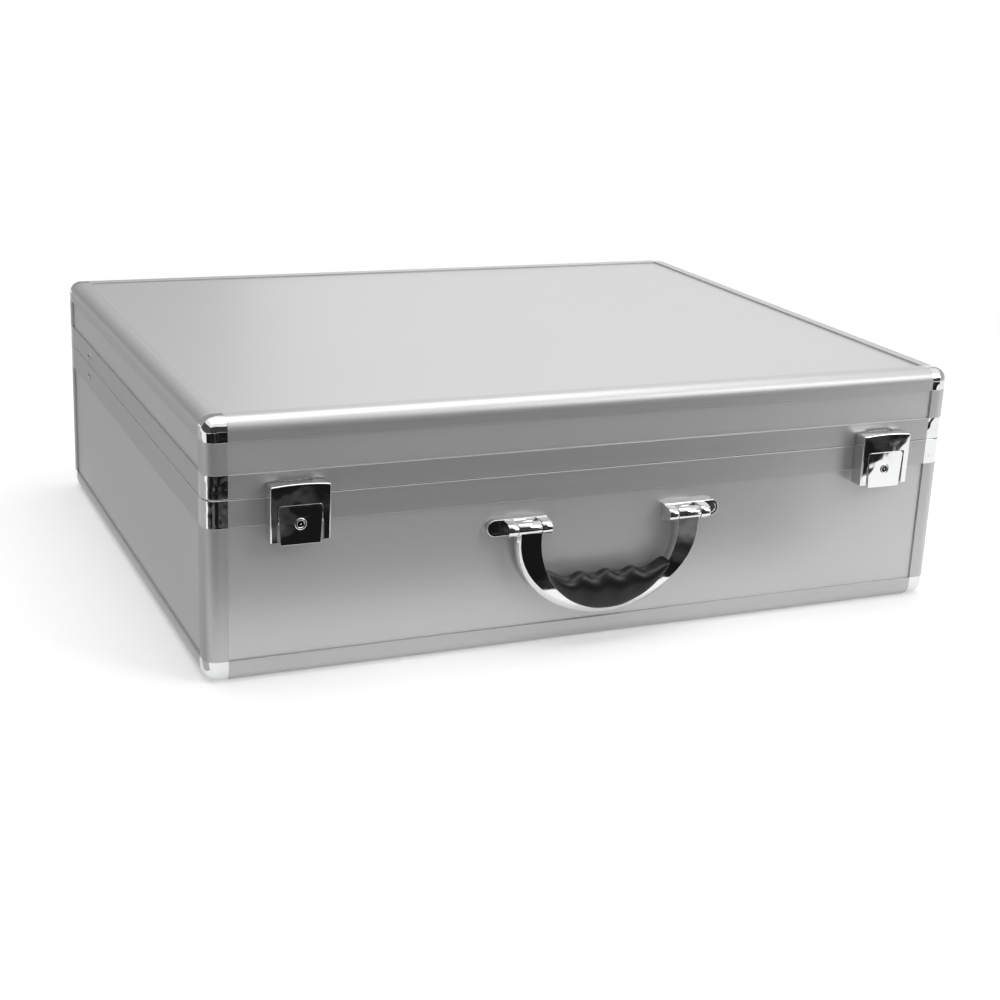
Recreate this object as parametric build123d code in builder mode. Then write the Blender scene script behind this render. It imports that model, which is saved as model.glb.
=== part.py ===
# Aluminium tool case: a base and a hinged lid, each a frame of extruded profiles around flat
# panels, with chrome corners, two draw latches with key barrels, a swinging handle and lid stays.
# Millimetres. +X is to the right and -Y to the front. The origin is on the surface that the case
# lies on, under the middle of the whole case with its hinges, latches and handle.
from build123d import *
from math import sqrt
import os

# Case body, over the outer lips of its profiles
case_width = 500.0
case_depth = 400.0
case_height = 158.0
parting_height = 111.0
parting_gap = 0.3

# Edge profiles and the panels that sit in their slots
profile_leg = 13.5
edge_radius = 8.0
outer_lip = 1.2
panel_thickness = 4.0
inner_lip = 1.2
slot_clearance = 0.3

# Rim profiles on either side of the parting line
base_rim_height = 16.5
lid_rim_height = 14.5
rim_slot_depth = 6.0
rim_edge_radius = 0.5
upstand_inset = 2.8
upstand_thickness = 1.4
upstand_height = 3.0
upstand_clearance = 0.6

# Lining of foam-backed cloth
lining_thickness = 3.0
lining_corner_radius = 6.0

# Rivets
rivet_radius = 1.6
rivet_head_radius = 2.7
rivet_head_height = 1.2
rivet_tail_height = 1.0
running_clearance = 0.05

# Back hinges
hinge_from_side = 100.0
hinge_length = 60.0
hinge_leaf_height = 14.0
hinge_leaf_thickness = 1.5
hinge_knuckle_count = 5
hinge_knuckle_radius = 3.0
hinge_knuckle_gap = 0.4
hinge_back_clearance = 0.3
hinge_pin_radius = 1.5
hinge_rivet_spacing = 22.0
leaf_rivet_drop = 6.2

# Lid stays, two equal flat arms on each side
stay_from_back = 75.0
stay_base_pivot_below = 8.0
stay_lid_pivot_above = 6.0
stay_arm_length = 80.0
stay_arm_width = 10.0
stay_arm_thickness = 1.5
stay_gap = 0.3
stay_elbow_pin_radius = 1.5
stay_elbow_play = 1.0
stay_shoulder_radius = 2.6
stay_head_radius = 3.0

# Draw latches
latch_from_side = 52.5
latch_width = 35.5
latch_depth = 11.0
latch_above_parting = 9.7
latch_below_parting = 24.0
latch_crown = 1.0
latch_wall = 1.4
latch_standoff = 0.5
lever_top_width = 26.6
lever_bottom_width = 24.0
lever_top_below_parting = 2.6
lever_bottom_below_parting = 26.2
lever_side_gap = 0.4
lever_plate = 1.5
lever_face_inset = 0.1
lever_cheek = 1.1
lever_cheek_width = 24.6
lever_pin_below_parting = 6.0
lever_pin_out = 5.0
lever_pin_radius = 1.25
claw_pin_drop = 7.0
claw_pin_inset = 1.0
claw_pin_radius = 1.3
claw_boss_radius = 2.8
ear_gap = 0.3
ear_radius = 2.6
latch_plate_thickness = 1.2
latch_plate_height = 14.0
latch_plate_width = 22.0
latch_plate_below_parting = 1.5
latch_rivet_spacing = 11.0
latch_head_radius = 2.2
latch_head_height = 0.8
catch_width = 18.0
catch_thickness = 1.0
catch_height = 7.0
catch_nose_width = 9.0
catch_nose_reach = 3.6
catch_nose_height = 2.4
catch_clearance = 0.4
catch_rivet_spacing = 14.0
catch_rivet_radius = 1.2
catch_head_radius = 1.9
catch_head_height = 0.6
hook_thickness = 1.4

# Key barrel in each lever
barrel_radius = 3.0
barrel_flange_radius = 3.6
barrel_flange_height = 0.4
barrel_below_parting = 14.0
barrel_length = 7.5
keyway_radius = 2.0
keyway_post_radius = 0.8
keyway_depth = 3.0
cam_length = 7.0
cam_width = 4.0
cam_thickness = 1.0

# Handle
handle_axis_height = 79.5
handle_axis_out = 7.8
handle_knuckle_spacing = 108.8
handle_knuckle_length = 15.2
handle_knuckle_radius = 4.2
handle_pin_radius = 1.6
handle_drop = 59.0
handle_bend_height = 71.5
bail_thickness = 7.0
bail_bottom_width = 5.0
bail_bevel_depth = 2.6
bail_bevel_side = 1.6
bail_bevel_bottom = 4.4
bracket_height = 10.5
bracket_thickness = 4.2
bracket_overhang = 10.5
bracket_edge_radius = 0.5
lug_thickness = 6.2
lug_gap = 0.4
dish_depth = 1.0
dish_rim = 1.8
screw_radius = 1.5
screw_head_radius = 3.0
screw_head_height = 1.0
screw_depth = 2.2

# Finger grip
grip_thickness = 14.0
grip_valley_height = 45.3
grip_ridge_height = 48.2
grip_end_height = 50.5
grip_finger_pitch = 17.5
grip_ridge_count = 3
grip_edge_radius = 3.5

wall = outer_lip + panel_thickness + inner_lip
front_reach = handle_axis_out + grip_thickness / 2
hinge_out = hinge_knuckle_radius + hinge_back_clearance
back_reach = hinge_out + hinge_knuckle_radius
front_y = front_reach - (case_depth + front_reach + back_reach) / 2
back_y = front_y + case_depth
middle_y = (front_y + back_y) / 2
low = (Align.MIN, Align.MIN)
low_3d = (Align.MIN, Align.MIN, Align.MIN)
standing = (Align.CENTER, Align.CENTER, Align.MIN)

inward = {
    "front": Vector(0, 1, 0),
    "back": Vector(0, -1, 0),
    "left": Vector(1, 0, 0),
    "right": Vector(-1, 0, 0),
}
side_length = {"front": case_width, "back": case_width, "left": case_depth, "right": case_depth}


def wall_point(side, along, height, out=0.0):
    """A point on one side of the case, a distance out from its outer lips."""
    point = {
        "front": Vector(along, front_y, height),
        "back": Vector(along, back_y, height),
        "left": Vector(-case_width / 2, along, height),
        "right": Vector(case_width / 2, along, height),
    }[side]
    return point - inward[side] * out


def middle_of(side):
    """The coordinate along a side at its middle."""
    return 0.0 if side in ("front", "back") else middle_y


def section_plane(side, height, up):
    """Across a side's profile: local X runs into the case and local Y up (1) or down (-1)."""
    origin = wall_point(side, middle_of(side), height)
    return Plane(origin=origin, x_dir=inward[side], z_dir=inward[side].cross(Vector(0, 0, up)))


def outward_plane(side, along, height, out=0.0):
    """On a side of the case, facing out of it."""
    return Plane(origin=wall_point(side, along, height, out), z_dir=-inward[side])


def front_plane(x, out):
    """Parallel to the front: local X to the right, local Y is the height, facing out."""
    return Plane(origin=(x, front_y - out, 0), x_dir=(1, 0, 0), z_dir=(0, -1, 0))


def cross_plane(x):
    """Square to X: local X is the distance out from the front, local Y is the height."""
    return Plane(origin=(x, front_y, 0), x_dir=(0, -1, 0), z_dir=(-1, 0, 0))


def corner_plane(height):
    """Level, with its origin on the front left corner of the case."""
    return Plane(origin=(-case_width / 2, front_y, height))


def save(name, piece):
    """Writes one piece under its own name."""
    piece.label = name
    export_step(piece, f"parts/{name}.step")


os.makedirs("parts", exist_ok=True)
across = Plane.YZ
along_depth = Plane(origin=(0, middle_y, 0), z_dir=(0, 1, 0))


# Where the pieces are held together
base_rim_bottom = parting_height - base_rim_height
lid_rim_bottom = parting_height + parting_gap
lid_rim_top = parting_height + lid_rim_height
hinge_height = parting_height + parting_gap / 2
stay_y = back_y - stay_from_back
stay_base_height = parting_height - stay_base_pivot_below
stay_lid_height = parting_height + stay_lid_pivot_above
latch_rivet_height = parting_height - 5.2
catch_bottom = lid_rim_bottom + 1.5
catch_rivet_height = catch_bottom + catch_height - 2.4
latch_centres = {"left": latch_from_side - case_width / 2, "right": case_width / 2 - latch_from_side}
hinge_centres = {"left": hinge_from_side - case_width / 2, "right": case_width / 2 - hinge_from_side}
hinge_rivet_offsets = (-hinge_rivet_spacing, 0.0, hinge_rivet_spacing)

base_holes = {"front": [], "back": [], "left": [], "right": []}
lid_holes = {"front": [], "back": [], "left": [], "right": []}
for centre in hinge_centres.values():
    for offset in hinge_rivet_offsets:
        base_holes["back"].append((centre + offset, hinge_height - leaf_rivet_drop, rivet_radius))
        lid_holes["back"].append((centre + offset, hinge_height + leaf_rivet_drop, rivet_radius))
for side in ("left", "right"):
    base_holes[side].append((stay_y, stay_base_height, rivet_radius))
    lid_holes[side].append((stay_y, stay_lid_height, rivet_radius))
for centre in latch_centres.values():
    for hand in (-1, 1):
        latch_hole = (centre + hand * latch_rivet_spacing / 2, latch_rivet_height, rivet_radius)
        catch_hole = (centre + hand * catch_rivet_spacing / 2, catch_rivet_height, catch_rivet_radius)
        base_holes["front"].append(latch_hole)
        lid_holes["front"].append(catch_hole)


def edge_section(plane):
    """An edge profile: a rounded corner with a slot for each of two panels."""
    with BuildSketch(plane) as section:
        Rectangle(profile_leg, profile_leg, align=low)
        fillet(section.vertices().sort_by_distance((0, 0, 0))[0], edge_radius)
        with Locations((wall, wall)):
            Rectangle(profile_leg, profile_leg, align=low, mode=Mode.SUBTRACT)
        with Locations((outer_lip, edge_radius - slot_clearance)):
            Rectangle(panel_thickness, profile_leg, align=low, mode=Mode.SUBTRACT)
        with Locations((edge_radius - slot_clearance, outer_lip)):
            Rectangle(profile_leg, panel_thickness, align=low, mode=Mode.SUBTRACT)
    return section.sketch


# Bottom and top edge profiles, between the ball corners
for side in inward:
    reach = side_length[side] / 2 - profile_leg
    with BuildPart() as bottom_profile:
        extrude(edge_section(section_plane(side, 0, 1)), amount=reach, both=True)
    save(f"bottom_profile_{side}", bottom_profile.part)
    with BuildPart() as top_profile:
        extrude(edge_section(section_plane(side, case_height, -1)), amount=reach, both=True)
    save(f"top_profile_{side}", top_profile.part)

# Upright corner posts, four in each shell
post_spans = {
    "base_corner_posts": (profile_leg, base_rim_bottom),
    "lid_corner_posts": (lid_rim_top, case_height - profile_leg),
}
for name, (post_bottom, post_top) in post_spans.items():
    with BuildPart() as posts:
        extrude(edge_section(corner_plane(post_bottom)), amount=post_top - post_bottom)
        mirror(about=across)
        mirror(about=along_depth)
    save(name, posts.part)

# Ball corners, four under the base and four on the lid
with BuildPart() as lower_ball_corners:
    with BuildSketch(corner_plane(0)):
        Rectangle(profile_leg, profile_leg, align=low)
    extrude(amount=profile_leg)
    tip = Vector(-case_width / 2, front_y, 0)
    fillet(lower_ball_corners.edges().sort_by_distance(tip)[0:3], edge_radius)
    with Locations(tip + Vector(wall, wall, wall)):
        Box(profile_leg, profile_leg, profile_leg, align=low_3d, mode=Mode.SUBTRACT)
    slot_start = edge_radius - slot_clearance
    with Locations(tip + Vector(slot_start, outer_lip, slot_start)):
        Box(profile_leg, panel_thickness, profile_leg, align=low_3d, mode=Mode.SUBTRACT)
    with Locations(tip + Vector(outer_lip, slot_start, slot_start)):
        Box(panel_thickness, profile_leg, profile_leg, align=low_3d, mode=Mode.SUBTRACT)
    with Locations(tip + Vector(slot_start, slot_start, outer_lip)):
        Box(profile_leg, profile_leg, panel_thickness, align=low_3d, mode=Mode.SUBTRACT)
    mirror(about=across)
    mirror(about=along_depth)
save("lower_ball_corners", lower_ball_corners.part)
with BuildPart() as upper_ball_corners:
    mirror(lower_ball_corners.part, about=Plane.XY.offset(case_height / 2))
save("upper_ball_corners", upper_ball_corners.part)


def bore_holes(side, holes):
    """Cutters for the rivet holes through one side's wall."""
    cutters = []
    for along, height, radius in holes:
        plane = outward_plane(side, along, height, out=-wall - 1)
        with BuildPart(mode=Mode.PRIVATE) as cutter:
            with BuildSketch(plane):
                Circle(radius)
            extrude(amount=wall + 2)
        cutters.append(cutter.part)
    return cutters


# Rim profiles between the rim corner caps
for side in inward:
    reach = side_length[side] / 2 - profile_leg
    base_cutters = bore_holes(side, base_holes[side])
    lid_cutters = bore_holes(side, lid_holes[side])
    with BuildPart() as base_rim:
        with BuildSketch(section_plane(side, base_rim_bottom, 1)) as section:
            Rectangle(wall, base_rim_height, align=low)
            fillet(section.vertices().sort_by_distance((0, base_rim_height, 0))[0], rim_edge_radius)
            with Locations((outer_lip, 0)):
                Rectangle(panel_thickness, rim_slot_depth, align=low, mode=Mode.SUBTRACT)
            with Locations((upstand_inset, base_rim_height)):
                Rectangle(upstand_thickness, upstand_height, align=low)
        extrude(amount=reach, both=True)
        for cutter in base_cutters:
            add(cutter, mode=Mode.SUBTRACT)
    save(f"base_rim_{side}", base_rim.part)
    with BuildPart() as lid_rim:
        with BuildSketch(section_plane(side, lid_rim_bottom, 1)) as section:
            Rectangle(wall, lid_rim_top - lid_rim_bottom, align=low)
            fillet(section.vertices().sort_by_distance((0, 0, 0))[0], rim_edge_radius)
            with Locations((outer_lip, lid_rim_top - lid_rim_bottom - rim_slot_depth)):
                Rectangle(panel_thickness, rim_slot_depth, align=low, mode=Mode.SUBTRACT)
            with Locations((upstand_inset - upstand_clearance, 0)):
                Rectangle(wall, upstand_height + upstand_clearance - parting_gap, align=low, mode=Mode.SUBTRACT)
        extrude(amount=reach, both=True)
        for cutter in lid_cutters:
            add(cutter, mode=Mode.SUBTRACT)
    save(f"lid_rim_{side}", lid_rim.part)


def corner_square(plane, inset, thickness):
    """A right-angled strip round the corner, a distance in from the outer lips."""
    with BuildSketch(plane) as strip:
        with Locations((inset, inset)):
            Rectangle(profile_leg - inset, profile_leg - inset, align=low)
        if edge_radius > inset:
            fillet(strip.vertices().sort_by_distance((0, 0, 0))[0], edge_radius - inset)
        with Locations((inset + thickness, inset + thickness)):
            Rectangle(profile_leg, profile_leg, align=low, mode=Mode.SUBTRACT)
    return strip.sketch


# Rim corner caps, four in each shell
with BuildPart() as base_rim_corners:
    extrude(corner_square(corner_plane(base_rim_bottom), 0, wall), amount=base_rim_height)
    tip = Vector(-case_width / 2, front_y, parting_height)
    fillet(base_rim_corners.edges().sort_by_distance(tip)[0:3], rim_edge_radius)
    tip = Vector(-case_width / 2, front_y, base_rim_bottom)
    with Locations(tip + Vector(slot_start, outer_lip, 0)):
        Box(profile_leg, panel_thickness, rim_slot_depth, align=low_3d, mode=Mode.SUBTRACT)
    with Locations(tip + Vector(outer_lip, slot_start, 0)):
        Box(panel_thickness, profile_leg, rim_slot_depth, align=low_3d, mode=Mode.SUBTRACT)
    upstand = corner_square(corner_plane(parting_height), upstand_inset, upstand_thickness)
    extrude(upstand, amount=upstand_height)
    mirror(about=across)
    mirror(about=along_depth)
save("base_rim_corners", base_rim_corners.part)

with BuildPart() as lid_rim_corners:
    extrude(corner_square(corner_plane(lid_rim_bottom), 0, wall), amount=lid_rim_top - lid_rim_bottom)
    tip = Vector(-case_width / 2, front_y, lid_rim_bottom)
    fillet(lid_rim_corners.edges().sort_by_distance(tip)[0:3], rim_edge_radius)
    rebate = corner_square(corner_plane(lid_rim_bottom), upstand_inset - upstand_clearance, wall)
    extrude(rebate, amount=upstand_height + upstand_clearance - parting_gap, mode=Mode.SUBTRACT)
    tip = Vector(-case_width / 2, front_y, lid_rim_top - rim_slot_depth)
    with Locations(tip + Vector(slot_start, outer_lip, 0)):
        Box(profile_leg, panel_thickness, rim_slot_depth, align=low_3d, mode=Mode.SUBTRACT)
    with Locations(tip + Vector(outer_lip, slot_start, 0)):
        Box(panel_thickness, profile_leg, rim_slot_depth, align=low_3d, mode=Mode.SUBTRACT)
    mirror(about=across)
    mirror(about=along_depth)
save("lid_rim_corners", lid_rim_corners.part)

# Handle screws go through the front panel
bracket_inner_end = handle_knuckle_spacing / 2 - handle_knuckle_length / 2 - lug_gap - lug_thickness
bracket_outer_end = (
    handle_knuckle_spacing / 2 + handle_knuckle_length / 2 + lug_gap + lug_thickness + bracket_overhang
)
screw_offsets = (bracket_inner_end + lug_thickness / 2, bracket_outer_end - bracket_height / 2)
screw_places = [(hand * offset, handle_axis_height) for hand in (-1, 1) for offset in screw_offsets]

# Side panels, held in the profile slots of each shell
panel_spans = {
    "base": (edge_radius, base_rim_bottom + rim_slot_depth - slot_clearance),
    "lid": (lid_rim_top - rim_slot_depth + slot_clearance, case_height - edge_radius),
}
for shell, (panel_bottom, panel_top) in panel_spans.items():
    for side in inward:
        with BuildPart() as panel:
            plane = outward_plane(side, middle_of(side), 0, out=-outer_lip)
            with BuildSketch(Plane(origin=plane.origin, x_dir=(0, 0, 1), z_dir=inward[side])):
                with Locations(((panel_bottom + panel_top) / 2, 0)):
                    Rectangle(panel_top - panel_bottom, side_length[side] - 2 * edge_radius)
            extrude(amount=panel_thickness)
            if shell == "base" and side == "front":
                for x, height in screw_places:
                    with Locations(outward_plane(side, x, height, out=-wall)):
                        Cylinder(screw_radius, 2 * wall, align=standing, mode=Mode.SUBTRACT)
        save(f"{shell}_{side}_panel", panel.part)

# Bottom and top panels
flat_panels = {"bottom_panel": outer_lip, "top_panel": case_height - outer_lip - panel_thickness}
for name, height in flat_panels.items():
    with BuildPart() as flat_panel:
        with BuildSketch(Plane(origin=(0, middle_y, height))):
            Rectangle(case_width - 2 * edge_radius, case_depth - 2 * edge_radius)
        extrude(amount=panel_thickness)
    save(name, flat_panel.part)

# Linings: a tray in the base and one upside down in the lid, both short of the rims
lining_spans = {
    "base_lining": (wall, base_rim_bottom, wall + lining_thickness),
    "lid_lining": (case_height - wall, lid_rim_top, case_height - wall - lining_thickness),
}
for name, (closed_end, open_end, floor) in lining_spans.items():
    with BuildPart() as lining:
        with BuildSketch(Plane(origin=(0, middle_y, closed_end))):
            RectangleRounded(case_width - 2 * wall, case_depth - 2 * wall, lining_corner_radius)
        extrude(amount=open_end - closed_end)
        with BuildSketch(Plane(origin=(0, middle_y, floor))):
            inner = 2 * (wall + lining_thickness)
            RectangleRounded(case_width - inner, case_depth - inner, lining_corner_radius - lining_thickness)
        extrude(amount=open_end - floor, mode=Mode.SUBTRACT)
    save(name, lining.part)


# Back hinges
knuckle_pitch = hinge_length / hinge_knuckle_count
knuckle_length = knuckle_pitch - hinge_knuckle_gap
leaf_relief = hinge_knuckle_radius + 0.5


def hinge_leaf(centre, up, first, bore):
    """A leaf on the back of the case, with every second knuckle from the first."""
    starts = [centre - hinge_length / 2 + i * knuckle_pitch for i in range(first, hinge_knuckle_count, 2)]
    with BuildPart(mode=Mode.PRIVATE) as leaf:
        with BuildSketch(Plane(origin=(centre, back_y, 0), x_dir=(1, 0, 0), z_dir=(0, 1, 0))):
            with Locations((0, -hinge_height - up * (leaf_relief + hinge_leaf_height) / 2)):
                Rectangle(hinge_length, hinge_leaf_height - leaf_relief)
            for start in starts:
                with Locations((start - centre + knuckle_pitch / 2, -hinge_height - up * leaf_relief / 2)):
                    Rectangle(knuckle_length, leaf_relief)
        extrude(amount=hinge_leaf_thickness)
        for start in starts:
            axis_start = (start + hinge_knuckle_gap / 2, back_y + hinge_out, hinge_height)
            with Locations(Plane(origin=axis_start, z_dir=(1, 0, 0))):
                Cylinder(hinge_knuckle_radius, knuckle_length, align=standing)
                Cylinder(bore, knuckle_length, align=standing, mode=Mode.SUBTRACT)
        for offset in hinge_rivet_offsets:
            with Locations(outward_plane("back", centre + offset, hinge_height + up * leaf_rivet_drop)):
                Cylinder(rivet_radius, hinge_leaf_thickness, align=standing, mode=Mode.SUBTRACT)
    return leaf.part


with BuildPart() as hinge_base_leaves:
    for centre in hinge_centres.values():
        add(hinge_leaf(centre, -1, 0, hinge_pin_radius))
save("hinge_base_leaves", hinge_base_leaves.part)
with BuildPart() as hinge_lid_leaves:
    for centre in hinge_centres.values():
        add(hinge_leaf(centre, 1, 1, hinge_pin_radius + running_clearance))
save("hinge_lid_leaves", hinge_lid_leaves.part)

with BuildPart() as hinge_pins:
    for centre in hinge_centres.values():
        with Locations(Plane(origin=(centre, back_y + hinge_out, hinge_height), z_dir=(1, 0, 0))):
            Cylinder(hinge_pin_radius, hinge_length - hinge_knuckle_gap)
save("hinge_pins", hinge_pins.part)

# Lid stays: with the lid shut, each elbow points forward, halfway between the two pivots
pivot_rise = stay_lid_height - stay_base_height
elbow_y = stay_y - sqrt(stay_arm_length**2 - (pivot_rise / 2) ** 2)
elbow_height = (stay_base_height + stay_lid_height) / 2
lower_arm_in = wall + stay_gap
upper_arm_in = lower_arm_in + stay_arm_thickness + stay_gap
elbow_hole_radius = stay_elbow_pin_radius + stay_elbow_play


def stay_arm(side, pivot_height, inset, elbow_hole):
    """A flat arm from its pivot to the elbow, a distance in from the side's outer lips."""
    pivot = wall_point(side, stay_y, pivot_height, -inset)
    plane = Plane(origin=pivot, x_dir=(0, -1, 0), z_dir=inward[side])
    elbow = plane.to_local_coords(wall_point(side, elbow_y, elbow_height, -inset))
    with BuildPart() as arm:
        with BuildSketch(plane) as outline:
            Circle(stay_arm_width / 2)
            with Locations((elbow.X, elbow.Y)):
                Circle(stay_arm_width / 2)
            make_hull()
            Circle(rivet_radius + running_clearance, mode=Mode.SUBTRACT)
            if elbow_hole:
                with Locations((elbow.X, elbow.Y)):
                    Circle(elbow_hole_radius, mode=Mode.SUBTRACT)
        extrude(amount=stay_arm_thickness)
        if not elbow_hole:
            # The elbow rivet: a pin through the lower arm's hole and a head inside
            with BuildSketch(plane.offset(-stay_gap - stay_arm_thickness)):
                with Locations((elbow.X, elbow.Y)):
                    Circle(stay_elbow_pin_radius)
            extrude(amount=stay_gap + stay_arm_thickness)
            with BuildSketch(plane.offset(stay_arm_thickness)):
                with Locations((elbow.X, elbow.Y)):
                    Circle(stay_head_radius)
            extrude(amount=rivet_tail_height)
    return arm.part


for side in ("left", "right"):
    save(f"{side}_stay_lower_arm", stay_arm(side, stay_base_height, lower_arm_in, True))
    save(f"{side}_stay_upper_arm", stay_arm(side, stay_lid_height, upper_arm_in, False))


def rivet(plane, radius, head_radius, head_height, depth, tail_radius):
    """A rivet through a depth, with a low domed head outside and a flat tail inside."""
    with BuildPart(mode=Mode.PRIVATE) as body:
        with BuildSketch(plane):
            Circle(head_radius)
        extrude(amount=head_height)
        chamfer(body.edges().group_by(Axis(plane.origin, plane.z_dir))[-1], head_height * 0.6)
        with BuildSketch(plane):
            Circle(radius)
        extrude(amount=-depth)
        with BuildSketch(plane.offset(-depth)):
            Circle(tail_radius)
        extrude(amount=-rivet_tail_height)
    return body.part


def stay_rivet(side, height, arm_in, shoulder):
    """A rivet that a stay arm turns on, with a shoulder where the arm stands off the rim."""
    plane = outward_plane(side, stay_y, height)
    shank = arm_in + stay_arm_thickness + running_clearance
    with BuildPart(mode=Mode.PRIVATE) as body:
        add(rivet(plane, rivet_radius, rivet_head_radius, rivet_head_height, shank, stay_head_radius))
        if shoulder:
            with BuildSketch(plane.offset(-wall)):
                Circle(stay_shoulder_radius)
            extrude(amount=-(arm_in - wall - running_clearance))
    return body.part


# Rivets of each shell: hinge leaves and stays, and for the latch plates and catches
leaf_shank = hinge_leaf_thickness + wall
latch_shank = latch_plate_thickness + wall
catch_shank = catch_thickness + wall
with BuildPart() as base_rivets:
    for centre in hinge_centres.values():
        for offset in hinge_rivet_offsets:
            plane = outward_plane("back", centre + offset, hinge_height - leaf_rivet_drop, hinge_leaf_thickness)
            add(rivet(plane, rivet_radius, rivet_head_radius, rivet_head_height, leaf_shank, rivet_head_radius))
    for side in ("left", "right"):
        add(stay_rivet(side, stay_base_height, lower_arm_in, False))
    for centre in latch_centres.values():
        for hand in (-1, 1):
            x = centre + hand * latch_rivet_spacing / 2
            plane = outward_plane("front", x, latch_rivet_height, latch_plate_thickness)
            head = (latch_head_radius, latch_head_height)
            add(rivet(plane, rivet_radius, *head, latch_shank, rivet_head_radius))
save("base_rivets", base_rivets.part)

with BuildPart() as lid_rivets:
    for centre in hinge_centres.values():
        for offset in hinge_rivet_offsets:
            plane = outward_plane("back", centre + offset, hinge_height + leaf_rivet_drop, hinge_leaf_thickness)
            add(rivet(plane, rivet_radius, rivet_head_radius, rivet_head_height, leaf_shank, rivet_head_radius))
    for side in ("left", "right"):
        add(stay_rivet(side, stay_lid_height, upper_arm_in, True))
    for centre in latch_centres.values():
        for hand in (-1, 1):
            x = centre + hand * catch_rivet_spacing / 2
            plane = outward_plane("front", x, catch_rivet_height, catch_thickness)
            head = (catch_head_radius, catch_head_height)
            add(rivet(plane, catch_rivet_radius, *head, catch_shank, catch_head_radius))
save("lid_rivets", lid_rivets.part)

# Draw latches
lever_pin_height = parting_height - lever_pin_below_parting
claw_pin_height = lever_pin_height - claw_pin_drop
claw_pin_out = lever_pin_out - claw_pin_inset
claw_top = parting_height + latch_above_parting
claw_bottom = parting_height - latch_below_parting
lever_top = parting_height - lever_top_below_parting
lever_bottom = parting_height - lever_bottom_below_parting
lever_face = latch_depth - lever_face_inset
lever_back = lever_face - lever_plate
cheek_outer = lever_cheek_width / 2
cheek_inner = cheek_outer - lever_cheek
ear_outer = cheek_inner - ear_gap
ear_inner = ear_outer - lever_cheek
barrel_height = parting_height - barrel_below_parting
barrel_front = lever_face + barrel_flange_height
catch_nose_bottom = catch_bottom + catch_height - catch_nose_height - 1.0


def latch_back_plate(centre):
    """Riveted to the base rim, with an ear at each side for the lever pin."""
    plate_top = parting_height - latch_plate_below_parting
    with BuildPart() as plate:
        with BuildSketch(cross_plane(centre)):
            with Locations((lever_pin_out, lever_pin_height)):
                Circle(ear_radius)
            with Locations((0, lever_pin_height)):
                Rectangle(latch_plate_thickness, 2 * ear_radius, align=(Align.MIN, Align.CENTER))
            make_hull()
        extrude(amount=ear_outer, both=True)
        with BuildSketch(cross_plane(centre)):
            with Locations((0, lever_pin_height)):
                Rectangle(latch_depth, latch_plate_height, align=(Align.MIN, Align.CENTER))
        extrude(amount=ear_inner, both=True, mode=Mode.SUBTRACT)
        with BuildSketch(front_plane(centre, 0)):
            with Locations((0, plate_top - latch_plate_height / 2)):
                RectangleRounded(latch_plate_width, latch_plate_height, 1)
        extrude(amount=latch_plate_thickness)
        with Locations(Plane(origin=(centre, front_y - lever_pin_out, lever_pin_height), z_dir=(1, 0, 0))):
            Cylinder(lever_pin_radius, latch_width, mode=Mode.SUBTRACT)
        for hand in (-1, 1):
            x = centre + hand * latch_rivet_spacing / 2
            with Locations(outward_plane("front", x, latch_rivet_height)):
                Cylinder(rivet_radius, latch_depth, mode=Mode.SUBTRACT)
    return plate.part


def latch_lever(centre):
    """The flap that is pulled up: a face plate with two cheeks and a hole for the key barrel."""
    with BuildPart() as lever:
        with BuildSketch(cross_plane(centre)):
            with Locations((lever_pin_out, lever_pin_height), (claw_pin_out, claw_pin_height)):
                Circle(ear_radius + 0.3)
            with Locations((lever_back, (lever_pin_height + claw_pin_height) / 2)):
                Rectangle(0.5, claw_pin_drop + 4, align=(Align.MAX, Align.CENTER))
            make_hull()
            with Locations((lever_pin_out, lever_pin_height)):
                Circle(lever_pin_radius + running_clearance, mode=Mode.SUBTRACT)
            with Locations((claw_pin_out, claw_pin_height)):
                Circle(claw_pin_radius + running_clearance, mode=Mode.SUBTRACT)
        extrude(amount=cheek_outer, both=True)
        with BuildSketch(cross_plane(centre)):
            with Locations((lever_back, lever_pin_height)):
                Rectangle(2 * latch_depth, 2 * latch_width, align=(Align.MAX, Align.CENTER))
        extrude(amount=cheek_inner, both=True, mode=Mode.SUBTRACT)
        with BuildSketch(front_plane(centre, lever_back)) as face:
            with BuildLine():
                Polyline(
                    (-lever_bottom_width / 2, lever_bottom),
                    (lever_bottom_width / 2, lever_bottom),
                    (lever_top_width / 2, lever_top),
                    (-lever_top_width / 2, lever_top),
                    close=True,
                )
            make_face()
            fillet(face.vertices().group_by(Axis.Y)[-1], 2.0)
            fillet(face.vertices().group_by(Axis.Y)[0], 0.8)
        extrude(amount=lever_plate)
        fillet(lever.faces().sort_by(Axis.Y)[0].edges(), 0.4)
        with Locations(outward_plane("front", centre, barrel_height)):
            Cylinder(barrel_radius + running_clearance, 2 * latch_depth, mode=Mode.SUBTRACT)
    return lever.part


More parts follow.
